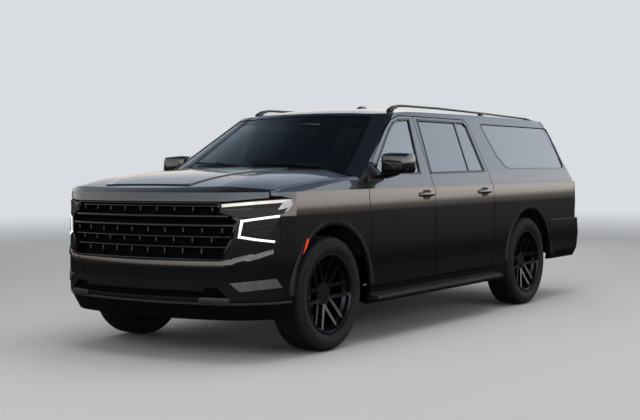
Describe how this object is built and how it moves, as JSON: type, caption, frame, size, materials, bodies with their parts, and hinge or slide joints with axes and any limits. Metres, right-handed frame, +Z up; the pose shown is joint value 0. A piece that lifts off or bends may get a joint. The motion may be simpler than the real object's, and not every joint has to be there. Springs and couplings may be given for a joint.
{
  "type": "long sport utility vehicle",
  "caption": "Long three-row sport utility vehicle with opening doors, hood and liftgate, steered front wheels and roof rails.",
  "frame": {"origin": "on the ground under the middle of the body", "axes": "+X forward along the vehicle, +Y to its left, +Z up"},
  "size_m": [5.733, 2.51, 1.88],
  "materials": {
    "body_paint": "gloss black clear-coated paint",
    "cast_iron": "machined cast iron",
    "cast_metal": "cast aluminium",
    "exhaust_steel": "stainless steel",
    "floor_paint": "satin black primer",
    "frame_steel": "black wax-coated steel",
    "grille_black": "gloss black moulding",
    "interior_leather": "black leather",
    "interior_plastic": "soft-touch dark plastic",
    "lamp_clear": "clear moulded lens",
    "lamp_red": "red moulded lens",
    "liner_plastic": "matt black liner",
    "seat_leather": "grey-brown leather",
    "step_plastic": "textured black plastic",
    "tank_plastic": "blow-moulded black plastic",
    "trim_black": "satin black trim",
    "tyre_rubber": "black rubber",
    "wheel_black": "gloss black painted alloy",
    "window_glass": "tinted safety glass"
  },
  "bodies": {
    "body": {"body_side_left": "body_paint", "body_side_right": "body_paint", "chassis_frame": "frame_steel", "cowl_panel": "trim_black", "dashboard": "interior_plastic", "exhaust": "exhaust_steel", "fender_left": "body_paint", "fender_right": "body_paint", "front_bumper": "body_paint", "front_seats": "seat_leather", "front_suspension": "frame_steel", "front_wheelhouses": "liner_plastic", "fuel_tank": "tank_plastic", "grille": "grille_black", "headlamps": "lamp_clear", "middle_seats": "seat_leather", "powertrain": "cast_metal", "quarter_glasses": "window_glass", "radiator": "cast_metal", "rear_bumper": "body_paint", "rear_seats": "seat_leather", "rear_suspension": "frame_steel", "roof_panel": "body_paint", "roof_rails": "trim_black", "running_boards": "step_plastic", "spare_wheel": "tyre_rubber", "steering_wheel": "interior_leather", "tail_lamps": "lamp_red", "underbody": "floor_paint", "windshield": "window_glass"},
    "door_front_left": {"door_front_left": "body_paint", "glass_front_left": "window_glass", "mirror_left": "body_paint"},
    "door_rear_left": {"door_rear_left": "body_paint", "glass_rear_left": "window_glass"},
    "knuckle_left": {"knuckle_front_left": "cast_iron"},
    "wheel_front_left": {"tyre_front_left": "tyre_rubber", "rim_front_left": "wheel_black"},
    "wheel_rear_left": {"tyre_rear_left": "tyre_rubber", "rim_rear_left": "wheel_black"},
    "door_front_right": {"door_front_right": "body_paint", "glass_front_right": "window_glass", "mirror_right": "body_paint"},
    "door_rear_right": {"door_rear_right": "body_paint", "glass_rear_right": "window_glass"},
    "knuckle_right": {"knuckle_front_right": "cast_iron"},
    "wheel_front_right": {"tyre_front_right": "tyre_rubber", "rim_front_right": "wheel_black"},
    "wheel_rear_right": {"tyre_rear_right": "tyre_rubber", "rim_rear_right": "wheel_black"},
    "hood": {"hood": "body_paint"},
    "liftgate": {"liftgate": "body_paint", "liftgate_glass": "window_glass"}
  },
  "joints": [
    {"name": "door_front_left_hinge", "type": "hinge", "parent": "body", "child": "door_front_left", "pos_m": [1.357, 1.015, 0.8], "axis": [0, 0, -1], "range_deg": [0, 65]},
    {"name": "door_rear_left_hinge", "type": "hinge", "parent": "body", "child": "door_rear_left", "pos_m": [0.322, 1.015, 0.8], "axis": [0, 0, -1], "range_deg": [0, 65]},
    {"name": "steer_left", "type": "hinge", "parent": "body", "child": "knuckle_left", "pos_m": [1.8935, 0.808, 0.417], "axis": [0, 0, 1], "range_deg": [-35, 35]},
    {"name": "spin_front_left", "type": "hinge", "parent": "knuckle_left", "child": "wheel_front_left", "pos_m": [1.8935, 0.868, 0.417], "axis": [0, 1, 0], "continuous": true},
    {"name": "spin_rear_left", "type": "hinge", "parent": "body", "child": "wheel_rear_left", "pos_m": [-1.5125, 0.868, 0.417], "axis": [0, 1, 0], "continuous": true},
    {"name": "door_front_right_hinge", "type": "hinge", "parent": "body", "child": "door_front_right", "pos_m": [1.357, -1.015, 0.8], "axis": [0, 0, 1], "range_deg": [0, 65]},
    {"name": "door_rear_right_hinge", "type": "hinge", "parent": "body", "child": "door_rear_right", "pos_m": [0.322, -1.015, 0.8], "axis": [0, 0, 1], "range_deg": [0, 65]},
    {"name": "steer_right", "type": "hinge", "parent": "body", "child": "knuckle_right", "pos_m": [1.8935, -0.808, 0.417], "axis": [0, 0, 1], "range_deg": [-35, 35]},
    {"name": "spin_front_right", "type": "hinge", "parent": "knuckle_right", "child": "wheel_front_right", "pos_m": [1.8935, -0.868, 0.417], "axis": [0, 1, 0], "continuous": true},
    {"name": "spin_rear_right", "type": "hinge", "parent": "body", "child": "wheel_rear_right", "pos_m": [-1.5125, -0.868, 0.417], "axis": [0, 1, 0], "continuous": true},
    {"name": "hood_hinge", "type": "hinge", "parent": "body", "child": "hood", "pos_m": [1.56, 0, 1.338], "axis": [0, -1, 0], "range_deg": [0, 50]},
    {"name": "liftgate_hinge", "type": "hinge", "parent": "body", "child": "liftgate", "pos_m": [-2.466, 0, 1.822], "axis": [0, 1, 0], "range_deg": [0, 85]}
  ],
  "couplings": [
    {"joint": "steer_right", "follows": "steer_left", "ratio": 1}
  ]
}
